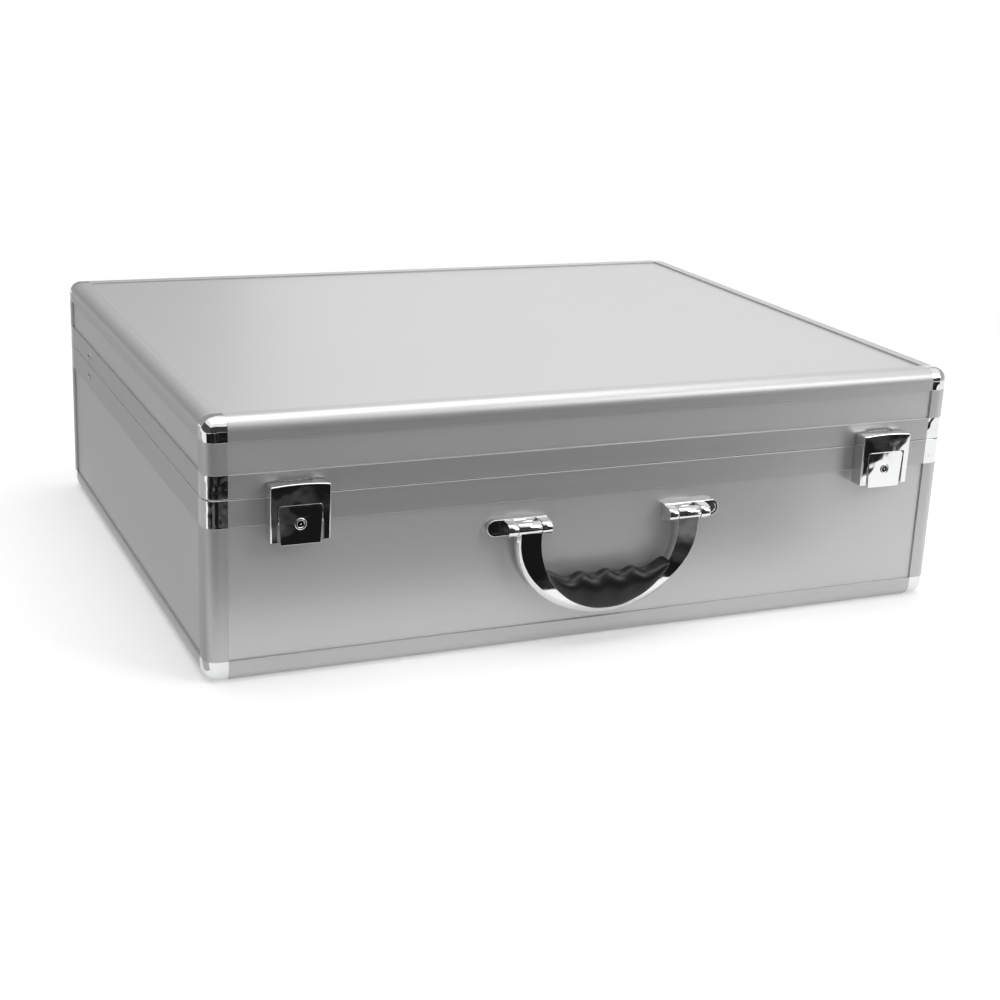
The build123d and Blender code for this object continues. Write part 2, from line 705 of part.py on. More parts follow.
def latch_claw(centre):
    """The arch that draws the lid down: a shell round the lever, hooked over the catch."""
    half = latch_width / 2
    gap = lever_side_gap
    relief = sqrt((lever_face - claw_pin_out) ** 2 + (lever_top - claw_pin_height) ** 2) + 0.3
    with BuildPart() as claw:
        with BuildSketch(front_plane(centre, latch_standoff)) as outline:
            with BuildLine():
                Polyline(
                    (-half, claw_top - latch_crown),
                    (-half, claw_bottom),
                    (half, claw_bottom),
                    (half, claw_top - latch_crown),
                )
                ThreePointArc((half, claw_top - latch_crown), (0, claw_top), (-half, claw_top - latch_crown))
            make_face()
            fillet(outline.vertices().group_by(Axis.Y)[-1], 1.2)
        extrude(amount=latch_depth - latch_standoff)
        fillet(claw.faces().sort_by(Axis.Y)[0].edges().group_by(Axis.Z)[1:], 0.8)
        with BuildSketch(front_plane(centre, 0)):
            with Locations((0, claw_top - latch_crown - latch_wall)):
                width = latch_width - 2 * latch_wall
                Rectangle(width, latch_above_parting + latch_below_parting, align=(Align.CENTER, Align.MAX))
        extrude(amount=latch_depth - latch_wall, mode=Mode.SUBTRACT)
        # Window for the lever
        with BuildSketch(front_plane(centre, 0)) as window:
            with BuildLine():
                Polyline(
                    (-lever_bottom_width / 2 - gap, claw_bottom - 2 * gap),
                    (lever_bottom_width / 2 + gap, claw_bottom - 2 * gap),
                    (lever_top_width / 2 + gap, lever_top + gap),
                    (-lever_top_width / 2 - gap, lever_top + gap),
                    close=True,
                )
            make_face()
            fillet(window.vertices().group_by(Axis.Y)[-1], 2.0)
        extrude(amount=2 * latch_depth, mode=Mode.SUBTRACT)
        # The lever's top edge turns past the inside of the arch
        claw_pivot = Plane(origin=(centre, front_y - claw_pin_out, claw_pin_height), z_dir=(1, 0, 0))
        with BuildSketch(claw_pivot):
            Circle(relief)
        extrude(amount=lever_top_width / 2 + gap, both=True, mode=Mode.SUBTRACT)
        # Bosses and trunnions that join the claw to the lever's cheeks
        for hand in (-1, 1):
            boss_start = hand * (cheek_outer + ear_gap)
            side_wall = hand * (half - latch_wall / 2)
            with BuildSketch(claw_pivot.offset(boss_start)):
                Circle(claw_boss_radius)
            extrude(amount=side_wall - boss_start)
            with BuildSketch(claw_pivot.offset(hand * cheek_inner)):
                Circle(claw_pin_radius)
            extrude(amount=boss_start - hand * cheek_inner)
        # Way for the catch through the top, and the hook in front of it
        notch_width = catch_width + 2 * catch_clearance
        notch_depth = catch_nose_reach + catch_clearance
        with Locations((centre, front_y, claw_top)):
            Box(notch_width, 2 * notch_depth, 4 * latch_wall, mode=Mode.SUBTRACT)
        hook_top = claw_top - latch_crown - latch_wall / 2
        with Locations((centre, front_y - notch_depth, hook_top)):
            Box(
                catch_nose_width,
                hook_thickness,
                hook_top - catch_nose_bottom,
                align=(Align.CENTER, Align.MAX, Align.MAX),
            )
    return claw.part


def latch_barrel(centre):
    """The key barrel, flanged in front, with its cam hanging behind the lever."""
    start = barrel_front - barrel_length
    with BuildPart() as barrel:
        with BuildSketch(front_plane(centre, start)):
            with Locations((0, barrel_height)):
                Circle(barrel_radius)
        extrude(amount=barrel_length)
        with BuildSketch(front_plane(centre, lever_face)):
            with Locations((0, barrel_height)):
                Circle(barrel_flange_radius)
        extrude(amount=barrel_flange_height)
        with BuildSketch(front_plane(centre, barrel_front)):
            with Locations((0, barrel_height)):
                Circle(keyway_radius)
                Circle(keyway_post_radius, mode=Mode.SUBTRACT)
            with Locations((0, barrel_height + keyway_radius)):
                Rectangle(0.8, 1.2)
        extrude(amount=-keyway_depth, mode=Mode.SUBTRACT)
        with BuildSketch(front_plane(centre, start - cam_thickness)):
            with Locations((0, barrel_height)):
                Circle(cam_width / 2)
            with Locations((0, barrel_height - cam_length + cam_width / 2)):
                Circle(cam_width / 2)
            make_hull()
        extrude(amount=cam_thickness)
    return barrel.part


def latch_catch(centre):
    """Riveted to the lid rim, with a nose that the claw's hook draws on."""
    with BuildPart() as catch:
        with BuildSketch(front_plane(centre, 0)):
            with Locations((0, catch_bottom + catch_height / 2)):
                RectangleRounded(catch_width, catch_height, 1)
        extrude(amount=catch_thickness)
        with BuildSketch(cross_plane(centre)):
            with BuildLine():
                Polyline(
                    (0, catch_nose_bottom - 1.0),
                    (catch_nose_reach, catch_nose_bottom),
                    (catch_nose_reach, catch_nose_bottom + catch_nose_height),
                    (catch_nose_reach - 1.0, catch_nose_bottom + catch_nose_height),
                    (catch_nose_reach - 1.0, catch_nose_bottom + 1.0),
                    (0, catch_nose_bottom + 1.0),
                    close=True,
                )
            make_face()
        extrude(amount=catch_nose_width / 2, both=True)
        for hand in (-1, 1):
            x = centre + hand * catch_rivet_spacing / 2
            with Locations(outward_plane("front", x, catch_rivet_height)):
                Cylinder(catch_rivet_radius, latch_depth, mode=Mode.SUBTRACT)
    return catch.part


for side, centre in latch_centres.items():
    save(f"{side}_latch_back_plate", latch_back_plate(centre))
    save(f"{side}_latch_lever", latch_lever(centre))
    save(f"{side}_latch_claw", latch_claw(centre))
    save(f"{side}_latch_key_barrel", latch_barrel(centre))
    save(f"{side}_latch_catch", latch_catch(centre))

with BuildPart() as latch_pins:
    for centre in latch_centres.values():
        with Locations(Plane(origin=(centre, front_y - lever_pin_out, lever_pin_height), z_dir=(1, 0, 0))):
            Cylinder(lever_pin_radius, 2 * cheek_outer + ear_gap)
save("latch_pins", latch_pins.part)

# Handle
knuckle_centre = handle_knuckle_spacing / 2
knuckle_inner = knuckle_centre - handle_knuckle_length / 2
knuckle_outer = knuckle_centre + handle_knuckle_length / 2
lug_starts = (bracket_inner_end, knuckle_outer + lug_gap)
plate_out = bracket_thickness - outer_lip


def handle_bracket(hand):
    """A plate with a rounded, dished outer end and two lugs for the handle pin."""
    with BuildPart() as bracket:
        with BuildSketch(front_plane(0, -outer_lip)):
            with Locations((hand * (bracket_outer_end - bracket_height / 2), handle_axis_height)):
                Circle(bracket_height / 2)
            with Locations((hand * (bracket_inner_end + 1), handle_axis_height)):
                Rectangle(2, bracket_height)
            make_hull()
        extrude(amount=bracket_thickness)
        fillet(bracket.faces().sort_by(Axis.Y)[0].edges(), bracket_edge_radius)
        dish_start = knuckle_outer + lug_gap + lug_thickness + dish_rim / 2
        with BuildSketch(front_plane(0, plate_out)):
            with Locations((hand * (bracket_outer_end - bracket_height / 2), handle_axis_height)):
                Circle(bracket_height / 2 - dish_rim)
            with Locations((hand * (dish_start + 1), handle_axis_height)):
                Rectangle(2, bracket_height - 2 * dish_rim)
            make_hull()
        extrude(amount=-dish_depth, mode=Mode.SUBTRACT)
        for start in lug_starts:
            with BuildSketch(cross_plane(hand * (start + lug_thickness / 2))):
                with Locations((handle_axis_out, handle_axis_height)):
                    Circle(handle_knuckle_radius)
                with Locations((0, handle_axis_height)):
                    lug_height = bracket_height - 2 * bracket_edge_radius
                    Rectangle(plate_out - bracket_edge_radius, lug_height, align=(Align.MIN, Align.CENTER))
                make_hull()
            extrude(amount=lug_thickness / 2, both=True)
        pin_start = hand * (bracket_inner_end + lug_thickness / 2)
        axis_y = front_y - handle_axis_out
        with Locations(Plane(origin=(pin_start, axis_y, handle_axis_height), z_dir=(hand, 0, 0))):
            Cylinder(handle_pin_radius, case_width / 4, align=standing, mode=Mode.SUBTRACT)
        for offset in screw_offsets:
            with Locations(outward_plane("front", hand * offset, handle_axis_height, -outer_lip)):
                Cylinder(screw_radius, screw_depth, align=standing, mode=Mode.SUBTRACT)
    return bracket.part


save("left_handle_bracket", handle_bracket(-1))
save("right_handle_bracket", handle_bracket(1))

pin_length = knuckle_outer + lug_gap + lug_thickness - bracket_inner_end - lug_thickness / 2
with BuildPart() as handle_pins:
    for hand in (-1, 1):
        x = hand * (bracket_inner_end + lug_thickness / 2)
        with Locations(Plane(origin=(x, front_y - handle_axis_out, handle_axis_height), z_dir=(hand, 0, 0))):
            Cylinder(handle_pin_radius, pin_length, align=standing)
save("handle_pins", handle_pins.part)

with BuildPart() as handle_screws:
    for x, height in screw_places:
        plane = outward_plane("front", x, height, -outer_lip - panel_thickness)
        with BuildSketch(plane):
            Circle(screw_radius)
        extrude(amount=panel_thickness + screw_depth)
        with BuildSketch(plane):
            Circle(screw_head_radius)
        extrude(amount=-screw_head_height)
save("handle_screws", handle_screws.part)

# The bail: an outer and an inner half ellipse below its bend, and straight arms up to the knuckles
bail_bottom = handle_axis_height - handle_drop
bail_back = handle_axis_out - bail_thickness / 2
bail_front = bail_back + bail_thickness
outer_fall = handle_bend_height - bail_bottom
inner_fall = outer_fall - bail_bottom_width


def bend_sketch(out, half_width, fall, top):
    """A half ellipse below the bend with straight sides up to a height, facing out."""
    with BuildSketch(front_plane(0, out)) as bend:
        with BuildLine():
            EllipticalCenterArc((0, handle_bend_height), half_width, fall, start_angle=180, arc_size=180)
            Polyline(
                (half_width, handle_bend_height),
                (half_width, top),
                (-half_width, top),
                (-half_width, handle_bend_height),
            )
        make_face()
    return bend.sketch


with BuildPart() as handle_bail:
    ridge_width = knuckle_outer - bail_bevel_side
    ridge_fall = outer_fall - bail_bevel_bottom
    arm_top = handle_axis_height
    extrude(bend_sketch(bail_back, knuckle_outer, outer_fall, arm_top), amount=bail_thickness - bail_bevel_depth)
    loft(
        [
            bend_sketch(bail_front - bail_bevel_depth, knuckle_outer, outer_fall, arm_top).face(),
            bend_sketch(bail_front, ridge_width, ridge_fall, arm_top).face(),
        ],
        ruled=True,
    )
    inner_top = handle_axis_height + handle_knuckle_radius
    extrude(
        bend_sketch(bail_back, knuckle_inner, inner_fall, inner_top),
        amount=bail_thickness,
        mode=Mode.SUBTRACT,
    )
    for hand in (-1, 1):
        plane = Plane(
            origin=(hand * knuckle_inner, front_y - handle_axis_out, handle_axis_height),
            z_dir=(hand, 0, 0),
        )
        with Locations(plane):
            Cylinder(handle_knuckle_radius, handle_knuckle_length, align=standing)
            bore = handle_pin_radius + running_clearance
            Cylinder(bore, handle_knuckle_length, align=standing, mode=Mode.SUBTRACT)
save("handle_bail", handle_bail.part)

# The grip sits inside the bend of the bail, scalloped on top for the fingers
ridge_xs = [(i - (grip_ridge_count - 1) / 2) * grip_finger_pitch for i in range(grip_ridge_count)]
valley_xs = [ridge_xs[0] - grip_finger_pitch / 2] + [x + grip_finger_pitch / 2 for x in ridge_xs]
end_share = sqrt(1 - ((handle_bend_height - grip_end_height) / inner_fall) ** 2)
grip_end_x = knuckle_inner * end_share
top_points = [(x, grip_ridge_height) for x in ridge_xs] + [(x, grip_valley_height) for x in valley_xs]
top_points.sort()
with BuildPart() as handle_grip:
    grip_back = handle_axis_out - grip_thickness / 2
    with BuildSketch(front_plane(0, grip_back)):
        with BuildLine():
            left_end = (-grip_end_x - 2, grip_end_height + 2)
            right_end = (grip_end_x + 2, grip_end_height + 2)
            Spline([left_end, *top_points, right_end])
            Polyline(right_end, (right_end[0], bail_bottom), (left_end[0], bail_bottom), left_end)
        make_face()
    extrude(amount=grip_thickness)
    bend = bend_sketch(grip_back, knuckle_inner, inner_fall, handle_axis_height)
    extrude(bend, amount=grip_thickness, mode=Mode.INTERSECT)
    front_and_back = handle_grip.faces().sort_by(Axis.Y)
    fillet(front_and_back[0].edges() + front_and_back[-1].edges(), grip_edge_radius)
save("handle_grip", handle_grip.part)
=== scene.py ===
"""Looks of an aluminium tool case, built around its solid model and laid out as an add-on.

The case lies on a pale studio floor: silver laminate panels in satin aluminium profiles, chrome
corners, draw latches and handle, a black finger grip, and black cloth linings inside.
Units are metres. +X is to the right, -Y to the front and +Z up.
"""

import math

import bpy
from bpy.props import FloatProperty, FloatVectorProperty, IntProperty, PointerProperty
from mathutils import Matrix, Vector


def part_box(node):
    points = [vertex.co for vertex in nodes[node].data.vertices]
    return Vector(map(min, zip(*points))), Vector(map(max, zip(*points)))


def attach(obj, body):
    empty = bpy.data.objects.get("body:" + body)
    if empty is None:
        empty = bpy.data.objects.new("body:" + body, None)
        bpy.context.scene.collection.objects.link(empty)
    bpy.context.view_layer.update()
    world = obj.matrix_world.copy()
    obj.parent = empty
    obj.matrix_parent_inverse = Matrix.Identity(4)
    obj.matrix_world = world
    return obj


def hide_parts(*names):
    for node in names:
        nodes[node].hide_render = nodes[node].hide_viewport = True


bl_info = {
    "name": "Aluminium Tool Case",
    "version": (1, 0, 0),
    "blender": (4, 5, 0),
    "location": "3D View > Sidebar > Tool Case",
    "description": "Finishes, linings, grip and studio of an aluminium tool case",
    "category": "Object",
}

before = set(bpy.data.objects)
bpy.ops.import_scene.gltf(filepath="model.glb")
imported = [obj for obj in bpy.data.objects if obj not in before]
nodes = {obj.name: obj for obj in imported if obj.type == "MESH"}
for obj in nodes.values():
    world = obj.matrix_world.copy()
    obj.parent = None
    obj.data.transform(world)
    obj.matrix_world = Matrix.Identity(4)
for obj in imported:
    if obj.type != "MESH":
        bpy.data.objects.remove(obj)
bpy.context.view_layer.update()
CATEGORY = "Tool Case"


# ---------------------------------------------------------------- materials


class Finish:
    """A material under construction, with short ways to add and join its nodes."""

    def __init__(self, name):
        self.material = bpy.data.materials.new(name)
        self.material.use_nodes = True
        self.tree = self.material.node_tree
        self.shader = next(n for n in self.tree.nodes if n.type == "BSDF_PRINCIPLED")
        self.coords = self.tree.nodes.new("ShaderNodeTexCoord").outputs["Object"]
        self.bump_out = None

    def node(self, kind, **values):
        """A node with values for its attributes, or for its inputs where it has no such attribute."""
        made = self.tree.nodes.new(kind)
        for name, value in values.items():
            if hasattr(made, name):
                setattr(made, name, value)
            else:
                made.inputs[name.replace("_", " ")].default_value = value
        return made

    def join(self, start, end):
        self.tree.links.new(start, end)

    def noise(self, scale, stretch=(1.0, 1.0, 1.0), detail=3.0, rough=0.5):
        """Noise over the object's own coordinates, stretched along its axes."""
        mapping = self.node("ShaderNodeMapping")
        mapping.inputs["Scale"].default_value = stretch
        self.join(self.coords, mapping.inputs["Vector"])
        noise = self.node("ShaderNodeTexNoise", Scale=scale, Detail=detail, Roughness=rough)
        self.join(mapping.outputs["Vector"], noise.inputs["Vector"])
        return noise.outputs["Fac"]

    def ramp(self, value, low, high):
        """The 0 to 1 value spread over a range of numbers."""
        spread = self.node("ShaderNodeMapRange")
        self.join(value, spread.inputs["Value"])
        spread.inputs["To Min"].default_value = low
        spread.inputs["To Max"].default_value = high
        return spread.outputs["Result"]

    def tint(self, value, dark, light):
        """The 0 to 1 value as a mix of two colours."""
        mix = self.node("ShaderNodeMix", data_type="RGBA")
        self.join(value, mix.inputs["Factor"])
        colour_inputs = [i for i in mix.inputs if i.type == "RGBA"]
        colour_inputs[0].default_value = (*dark, 1.0)
        colour_inputs[1].default_value = (*light, 1.0)
        return next(o for o in mix.outputs if o.type == "RGBA")

    def bump(self, height, strength, distance):
        """Adds a height to the surface normal, over any height added before."""
        bump = self.node("ShaderNodeBump", Strength=strength, Distance=distance)
        self.join(height, bump.inputs["Height"])
        if self.bump_out is not None:
            self.join(self.bump_out, bump.inputs["Normal"])
        self.bump_out = bump.outputs["Normal"]
        self.join(self.bump_out, self.shader.inputs["Normal"])

    def set(self, **values):
        for name, value in values.items():
            self.shader.inputs[name.replace("_", " ")].default_value = value

    def feed(self, **sources):
        for name, source in sources.items():
            self.join(source, self.shader.inputs[name.replace("_", " ")])


def shade_of(colour, factor):
    """The colour, darker or lighter by a factor."""
    return tuple(min(1.0, channel * factor) for channel in colour)


SATIN_ROUGHNESS = 0.42
SATIN_SPREAD = 0.04
WORN_EDGE_RADIUS = 0.0007


def brushed(name, colour, axis):
    """Drawn or brushed metal, with fine streaks along one axis (0, 1 or 2) and worn edges."""
    finish = Finish(name)
    edge = finish.node("ShaderNodeBevel", samples=6, Radius=WORN_EDGE_RADIUS)
    finish.bump_out = edge.outputs["Normal"]
    across = [1400.0, 1400.0, 1400.0]
    across[axis] = 4.0
    fine = finish.noise(1.0, tuple(across), detail=2.0)
    broad = [160.0, 160.0, 160.0]
    broad[axis] = 1.5
    bands = finish.noise(1.0, tuple(broad), detail=2.0)
    finish.set(Metallic=0.66)
    finish.feed(
        Base_Color=finish.tint(bands, shade_of(colour, 0.93), shade_of(colour, 1.04)),
        Roughness=finish.ramp(fine, SATIN_ROUGHNESS - SATIN_SPREAD, SATIN_ROUGHNESS + SATIN_SPREAD),
    )
    finish.bump(fine, 0.03, 0.00004)
    return finish.material


def laminate(name, colour):
    """Silver laminate: a metallic film under a satin top coat, with a very fine grain."""
    finish = Finish(name)
    grain = finish.noise(2600.0, detail=2.0)
    cloud = finish.noise(9.0, detail=3.0)
    finish.set(Metallic=0.5, Coat_Weight=0.12, Coat_Roughness=0.25)
    finish.feed(
        Base_Color=finish.tint(cloud, shade_of(colour, 0.985), shade_of(colour, 1.01)),
        Roughness=finish.ramp(grain, 0.33, 0.41),
    )
    finish.bump(grain, 0.05, 0.00003)
    return finish.material


def chrome(name, colour, rough, dents=0.16):
    """Polished plating with a faint ripple and a few duller patches."""
    finish = Finish(name)
    ripple = finish.noise(95.0, detail=1.0)
    haze = finish.noise(300.0, detail=4.0)
    finish.set(Metallic=1.0, Base_Color=(*colour, 1.0))
    finish.feed(Roughness=finish.ramp(haze, rough * 0.6, rough * 1.6))
    finish.bump(ripple, dents, 0.0006)
    return finish.material


def hazed_metal(name, colour, rough):
    """Zinc plated sheet steel with a mottled haze. Made near-black, it is also the painted shade inside
    the key barrel's keyway.
    """
    finish = Finish(name)
    haze = finish.noise(420.0, detail=4.0)
    finish.set(Metallic=1.0)
    finish.feed(
        Base_Color=finish.tint(haze, shade_of(colour, 0.88), shade_of(colour, 1.06)),
        Roughness=finish.ramp(haze, rough - 0.07, rough + 0.09),
    )
    finish.bump(haze, 0.08, 0.00006)
    return finish.material


def black_rubber(name, colour):
    """Moulded rubber with a half gloss and a fine skin."""
    finish = Finish(name)
    skin = finish.noise(1900.0, detail=2.0)
    worn = finish.noise(120.0, detail=3.0)
    finish.set(Metallic=0.0, Specular_IOR_Level=0.4)
    finish.feed(
        Base_Color=finish.tint(worn, shade_of(colour, 0.8), shade_of(colour, 1.3)),
        Roughness=finish.ramp(worn, 0.3, 0.38),
    )
    finish.bump(skin, 0.06, 0.00003)
    return finish.material


THREADS_PER_METRE = 260.0


def lining_cloth(name, colour):
    """Short-napped cloth: crossed threads under a soft sheen."""
    finish = Finish(name)
    threads = []
    for axis in range(3):
        wave = finish.node(
            "ShaderNodeTexWave", wave_type="BANDS", bands_direction="XYZ"[axis], Scale=THREADS_PER_METRE,
        )
        wave.inputs["Distortion"].default_value = 1.5
        wave.inputs["Detail"].default_value = 1.0
        finish.join(finish.coords, wave.inputs["Vector"])
        threads.append(wave.outputs["Fac"])
    crossed = finish.node("ShaderNodeMath", operation="MULTIPLY")
    finish.join(threads[0], crossed.inputs[0])
    finish.join(threads[1], crossed.inputs[1])
    woven = finish.node("ShaderNodeMath", operation="ADD")
    finish.join(crossed.outputs[0], woven.inputs[0])
    finish.join(threads[2], woven.inputs[1])
    nap = finish.noise(900.0, detail=5.0, rough=0.7)
    finish.set(Metallic=0.0, Sheen_Weight=0.35, Sheen_Roughness=0.45)
    finish.feed(
        Base_Color=finish.tint(nap, shade_of(colour, 0.7), shade_of(colour, 1.5)),
        Roughness=finish.ramp(nap, 0.82, 0.97),
    )
    finish.bump(woven.outputs[0], 0.25, 0.00012)
    finish.bump(nap, 0.3, 0.0002)
    return finish.material


def dress(name, material):
    """Puts one material all over a solid node."""
    piece = nodes[name]
    piece.data.materials.clear()
    piece.data.materials.append(material)
    for polygon in piece.data.polygons:
        polygon.material_index = 0


SHARP_EDGE_ANGLE = math.radians(32.0)


def soften(name, width):
    """Rounds the sharp edges of a solid node for the light to catch."""
    piece = nodes[name]
    weld = piece.modifiers.new("join_facets", "WELD")
    weld.merge_threshold = 0.000002
    bevel = piece.modifiers.new("soft_edges", "BEVEL")
    bevel.width = width
    bevel.segments = 2
    bevel.limit_method = "ANGLE"
    bevel.angle_limit = SHARP_EDGE_ANGLE
    bevel.use_clamp_overlap = True
    bevel.harden_normals = True


# ------------------------------------------------------------------- meshes


def mesh_piece(name, points, faces, material, smooth=True):
    """A new object in the scene from points and faces."""
    mesh = bpy.data.meshes.new(name)
    mesh.from_pydata([tuple(p) for p in points], [], faces)
    mesh.validate()
    mesh.update()
    mesh.materials.append(material)
    if smooth:
        mesh.polygons.foreach_set("use_smooth", [True] * len(mesh.polygons))
    piece = bpy.data.objects.new(name, mesh)
    bpy.context.scene.collection.objects.link(piece)
    return piece


def skin_rings(rings):
    """Points and faces of a closed skin over rings that all have the same number of points."""
    count = len(rings[0])
    points = [p for ring in rings for p in ring]
    faces = []
    for i in range(len(rings) - 1):
        for j in range(count):
            k = (j + 1) % count
            faces.append((i * count + j, i * count + k, (i + 1) * count + k, (i + 1) * count + j))
    faces.append(tuple(reversed(range(count))))
    last = (len(rings) - 1) * count
    faces.append(tuple(last + j for j in range(count)))
    return points, faces


LEAST_STRAIGHT = 0.001


def rounded_rectangle(centre, half_x, half_y, radius, corner_steps, side_steps):
    """Points round a rectangle with rounded corners."""
    radius = min(radius, half_x - LEAST_STRAIGHT, half_y - LEAST_STRAIGHT)
    corners = [
        (half_x - radius, half_y - radius, 0.0),
        (radius - half_x, half_y - radius, 90.0),
        (radius - half_x, radius - half_y, 180.0),
        (half_x - radius, radius - half_y, 270.0),
    ]
    outline = []
    for number, (x, y, start) in enumerate(corners):
        for step in range(corner_steps + 1):
            angle = math.radians(start + 90.0 * step / corner_steps)
            outward = Vector((math.cos(angle), math.sin(angle)))
            outline.append(Vector((x, y)) + outward * radius)
        next_x, next_y, _ = corners[(number + 1) % 4]
        end_angle = math.radians(start + 90.0)
        outward = Vector((math.cos(end_angle), math.sin(end_angle)))
        here = Vector((x, y)) + outward * radius
        there = Vector((next_x, next_y)) + outward * radius
        for step in range(1, side_steps):
            outline.append(here.lerp(there, step / side_steps))
    return [point + centre for point in outline]


# ----------------------------------------------------------------- settings


class ToolCaseColours(bpy.types.PropertyGroup):
    """Colours of the case's finishes."""

    panel: FloatVectorProperty(
        name="Panel laminate", description="Silver film of the panels", subtype="COLOR", size=3,
        min=0.0, max=1.0, default=(0.60, 0.60, 0.605),
    )
    profile: FloatVectorProperty(
        name="Profile aluminium", description="Satin aluminium of the edge profiles", subtype="COLOR",
        size=3, min=0.0, max=1.0, default=(0.56, 0.56, 0.565),
    )
    rim: FloatVectorProperty(
        name="Rim aluminium", description="Satin aluminium of the rims at the parting line",
        subtype="COLOR", size=3, min=0.0, max=1.0, default=(0.56, 0.56, 0.565),
    )
    plating: FloatVectorProperty(
        name="Plating", description="Chrome of the corners, latches and handle", subtype="COLOR", size=3,
        min=0.0, max=1.0, default=(0.78, 0.785, 0.79),
    )
    steel: FloatVectorProperty(
        name="Steel", description="Plated steel of the hinges, stays and screws", subtype="COLOR", size=3,
        min=0.0, max=1.0, default=(0.62, 0.62, 0.63),
    )
    grip: FloatVectorProperty(
        name="Grip rubber", description="Black rubber of the finger grip", subtype="COLOR", size=3,
        min=0.0, max=1.0, default=(0.008, 0.008, 0.0083),
    )
    lining: FloatVectorProperty(
        name="Lining cloth", description="Cloth inside the base and the lid", subtype="COLOR", size=3,
        min=0.0, max=1.0, default=(0.03, 0.03, 0.032),
    )


class ToolCaseSizes(bpy.types.PropertyGroup):
    """Sizes that the looks are made with."""

    edge_softness: FloatProperty(
        name="Edge softness", description="Rounding of the pressed and cast edges", subtype="DISTANCE",
        unit="LENGTH", default=0.00045, min=0.0, max=0.002,
    )
    chrome_roughness: FloatProperty(
        name="Chrome roughness", description="Haze of the plating", default=0.035, min=0.0, max=0.5,
    )
    lining_thickness: FloatProperty(
        name="Lining thickness", description="Cloth with its foam backing", subtype="DISTANCE",
        unit="LENGTH", default=0.003, min=0.001, max=0.004,
    )
    lining_fold_radius: FloatProperty(
        name="Lining fold radius", description="Round fold between the lining's walls and floor",
        subtype="DISTANCE", unit="LENGTH", default=0.009, min=0.002, max=0.03,
    )
    lining_swell: FloatProperty(
        name="Lining swell", description="How far the foam stands proud between its glued edges",
        subtype="DISTANCE", unit="LENGTH", default=0.0006, min=0.0, max=0.002,
    )
    grip_lip: FloatProperty(
        name="Grip lip", description="How far the grip hangs over the bail in front and behind",
        subtype="DISTANCE", unit="LENGTH", default=0.0022, min=0.0, max=0.004,
    )
    grip_rings: IntProperty(
        name="Grip rings", description="Sections along the finger grip", default=161, min=21, max=401,
    )


def colours():
    return bpy.context.scene.tool_case_colours


def sizes():
    return bpy.context.scene.tool_case_sizes


# ---------------------------------------------------------------- operators


class TOOLCASE_OT_profiles(bpy.types.Operator):
    """Satin finish of the edge profiles and corner posts, streaked along each length"""

    bl_idname = "toolcase.profiles"
    bl_label = "Edge profiles"

    def execute(self, context):
        colour = tuple(colours().profile)
        along_x = brushed("satin_profile_across", colour, 0)
        along_y = brushed("satin_profile_deep", colour, 1)
        along_z = brushed("satin_profile_upright", colour, 2)
        for end in ("bottom", "top"):
            for side in ("front", "back"):
                dress(f"{end}_profile_{side}", along_x)
            for side in ("left", "right"):
                dress(f"{end}_profile_{side}", along_y)
        for shell in ("base", "lid"):
            dress(f"{shell}_corner_posts", along_z)
        return {"FINISHED"}


class TOOLCASE_OT_rims(bpy.types.Operator):
    """Satin finish of the rim profiles on both sides of the parting line"""

    bl_idname = "toolcase.rims"
    bl_label = "Rims"

    def execute(self, context):
        colour = tuple(colours().rim)
        along_x = brushed("satin_rim_across", colour, 0)
        along_y = brushed("satin_rim_deep", colour, 1)
        for shell in ("base", "lid"):
            for side in ("front", "back"):
                dress(f"{shell}_rim_{side}", along_x)
            for side in ("left", "right"):
                dress(f"{shell}_rim_{side}", along_y)
        return {"FINISHED"}


class TOOLCASE_OT_panels(bpy.types.Operator):
    """Silver laminate of the side, top and bottom panels"""

    bl_idname = "toolcase.panels"
    bl_label = "Panels"

    def execute(self, context):
        material = laminate("silver_laminate", tuple(colours().panel))
        for shell in ("base", "lid"):
            for side in ("front", "back", "left", "right"):
                dress(f"{shell}_{side}_panel", material)
        dress("top_panel", material)
        dress("bottom_panel", material)
        return {"FINISHED"}


class TOOLCASE_OT_corners(bpy.types.Operator):
    """Chrome of the ball corners and the rim corner caps"""

    bl_idname = "toolcase.corners"
    bl_label = "Corners"

    def execute(self, context):
        material = chrome("corner_chrome", tuple(colours().plating), sizes().chrome_roughness, dents=0.6)
        for name in ("lower_ball_corners", "upper_ball_corners", "base_rim_corners", "lid_rim_corners"):
            dress(name, material)
        return {"FINISHED"}


class TOOLCASE_OT_hinges(bpy.types.Operator):
    """Plated steel of the back hinges and their pins"""

    bl_idname = "toolcase.hinges"
    bl_label = "Hinges"

    def execute(self, context):
        steel = hazed_metal("hinge_steel", tuple(colours().steel), 0.3)
        for name in ("hinge_base_leaves", "hinge_lid_leaves", "hinge_pins"):
            dress(name, steel)
        return {"FINISHED"}


class TOOLCASE_OT_stays(bpy.types.Operator):
    """Plated steel of the lid stays"""

    bl_idname = "toolcase.stays"
    bl_label = "Lid stays"

    def execute(self, context):
        steel = hazed_metal("stay_steel", tuple(colours().steel), 0.26)
        for side in ("left", "right"):
            for arm in ("lower", "upper"):
                dress(f"{side}_stay_{arm}_arm", steel)
        return {"FINISHED"}


class TOOLCASE_OT_rivets(bpy.types.Operator):
    """Aluminium of the rivets in both shells"""

    bl_idname = "toolcase.rivets"
    bl_label = "Rivets"

    def execute(self, context):
        material = hazed_metal("rivet_aluminium", (0.66, 0.66, 0.665), 0.24)
        for shell in ("base", "lid"):
            dress(f"{shell}_rivets", material)
        return {"FINISHED"}


